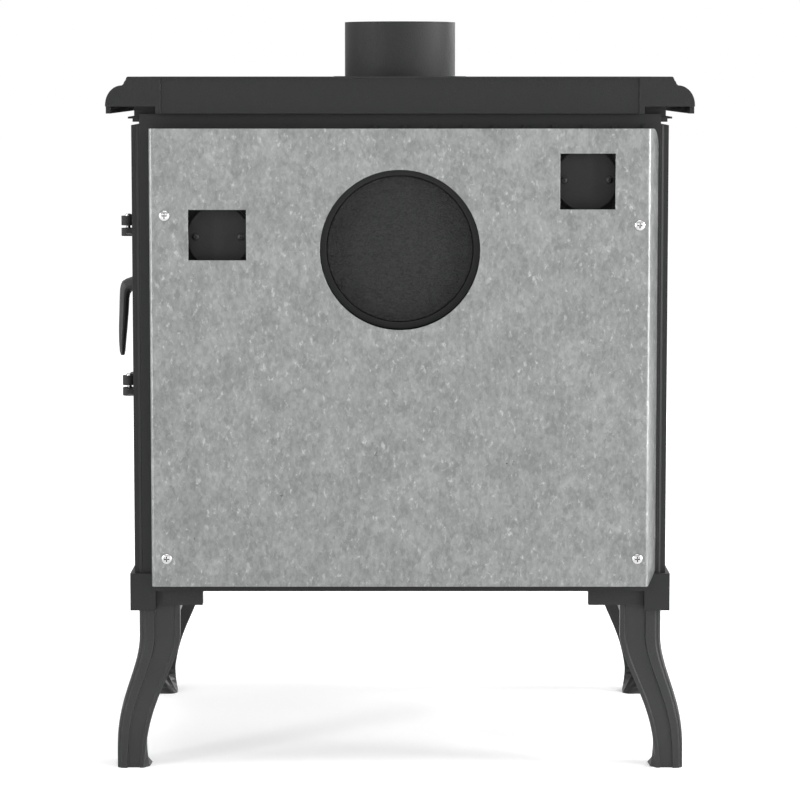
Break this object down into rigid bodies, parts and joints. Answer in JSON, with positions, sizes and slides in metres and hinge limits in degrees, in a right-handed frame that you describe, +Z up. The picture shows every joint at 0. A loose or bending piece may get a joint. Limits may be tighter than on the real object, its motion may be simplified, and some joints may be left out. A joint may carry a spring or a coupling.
{
  "type": "cast iron wood stove",
  "caption": "Freestanding cast iron wood stove on curved legs, with a moulded top, round flue collar, glazed front door, side loading door, ash drawer and rear heat shield.",
  "frame": {"origin": "on the floor under the middle of the body, midway between the four feet", "axes": "+Z up, the glazed front door faces -Y, the heat shield faces +Y, the side loading door is on +X"},
  "size_m": [0.6699, 0.4589, 0.8354],
  "materials": {
    "cast_iron": "matt black stove paint over fine sand-cast texture",
    "handle_iron": "satin black enamelled casting",
    "bracket_iron": "matt black",
    "firebox_iron": "bare sooty iron",
    "dark_fixings": "blackened steel",
    "bright_fixings": "zinc plated steel",
    "galvanised_sheet": "galvanised sheet with soft spangle",
    "firebrick": "dry vermiculite board",
    "door_rope": "black glass fibre rope",
    "stove_glass": "clear ceramic glass"
  },
  "bodies": {
    "stove": {"top_plate": "cast_iron", "flue_collar": "cast_iron", "collar_screws": "dark_fixings", "seal_sheet": "bracket_iron", "top_frame": "cast_iron", "back_plate": "cast_iron", "left_side_panel": "cast_iron", "right_side_panel": "cast_iron", "front_frame": "cast_iron", "base_casting": "cast_iron", "ash_lip": "cast_iron", "leg_front_left": "cast_iron", "leg_front_right": "cast_iron", "leg_rear_left": "cast_iron", "leg_rear_right": "cast_iron", "leg_brackets": "bracket_iron", "leg_bolts": "dark_fixings", "tie_rods": "dark_fixings", "rear_heat_shield": "galvanised_sheet", "shield_screws": "bright_fixings", "shield_spacers": "dark_fixings", "rear_flue_cover": "cast_iron", "cover_clamp_bar": "firebox_iron", "cover_bolt": "dark_fixings", "port_cover_left": "cast_iron", "port_cover_right": "cast_iron", "port_screws": "dark_fixings", "baffle_plate": "firebox_iron", "baffle_supports": "firebox_iron", "back_firebricks": "firebrick", "left_firebricks": "firebrick", "right_firebricks": "firebrick", "grate_frame": "firebox_iron", "log_fence": "firebox_iron"},
    "front_door": {"front_door": "cast_iron", "front_glass": "stove_glass", "glass_clips": "firebox_iron", "glass_screws": "bright_fixings", "front_door_rope": "door_rope", "front_hinge_pins": "bright_fixings"},
    "front_handle": {"front_handle": "handle_iron", "front_latch_tongue": "firebox_iron"},
    "side_door": {"side_door": "cast_iron", "side_door_rope": "door_rope", "side_hinge_pins": "bright_fixings"},
    "side_handle": {"side_handle": "handle_iron", "side_latch_tongue": "firebox_iron"},
    "ash_drawer": {"ash_drawer_front": "cast_iron", "ash_pan": "firebox_iron", "ash_drawer_knob": "handle_iron"},
    "primary_air_slide": {"primary_air_slide": "firebox_iron"},
    "airwash_slide": {"airwash_slide": "firebox_iron"},
    "riddling_grate": {"riddling_grate": "firebox_iron", "riddling_rod": "firebox_iron", "riddling_knob": "handle_iron"}
  },
  "joints": [
    {"name": "front_door_hinge", "type": "hinge", "parent": "stove", "child": "front_door", "pos_m": [-0.232, -0.1923, 0.48], "axis": [0, 0, -1], "range_deg": [0, 110]},
    {"name": "front_handle_turn", "type": "hinge", "parent": "front_door", "child": "front_handle", "pos_m": [0.19, -0.19, 0.49], "axis": [0, -1, 0], "range_deg": [0, 90]},
    {"name": "side_door_hinge", "type": "hinge", "parent": "stove", "child": "side_door", "pos_m": [0.3066, 0.139, 0.51], "axis": [0, 0, 1], "range_deg": [0, 100]},
    {"name": "side_handle_turn", "type": "hinge", "parent": "side_door", "child": "side_handle", "pos_m": [0.3, -0.115, 0.5232], "axis": [-1, 0, 0], "range_deg": [0, 90]},
    {"name": "ash_drawer_slide", "type": "slide", "parent": "stove", "child": "ash_drawer", "axis": [0, -1, 0], "range_m": [0, 0.25]},
    {"name": "primary_air_travel", "type": "slide", "parent": "ash_drawer", "child": "primary_air_slide", "axis": [1, 0, 0], "range_m": [0, 0.018]},
    {"name": "airwash_travel", "type": "slide", "parent": "stove", "child": "airwash_slide", "axis": [1, 0, 0], "range_m": [0, 0.018]},
    {"name": "riddling_travel", "type": "slide", "parent": "stove", "child": "riddling_grate", "axis": [0, -1, 0], "range_m": [0, 0.015]}
  ]
}
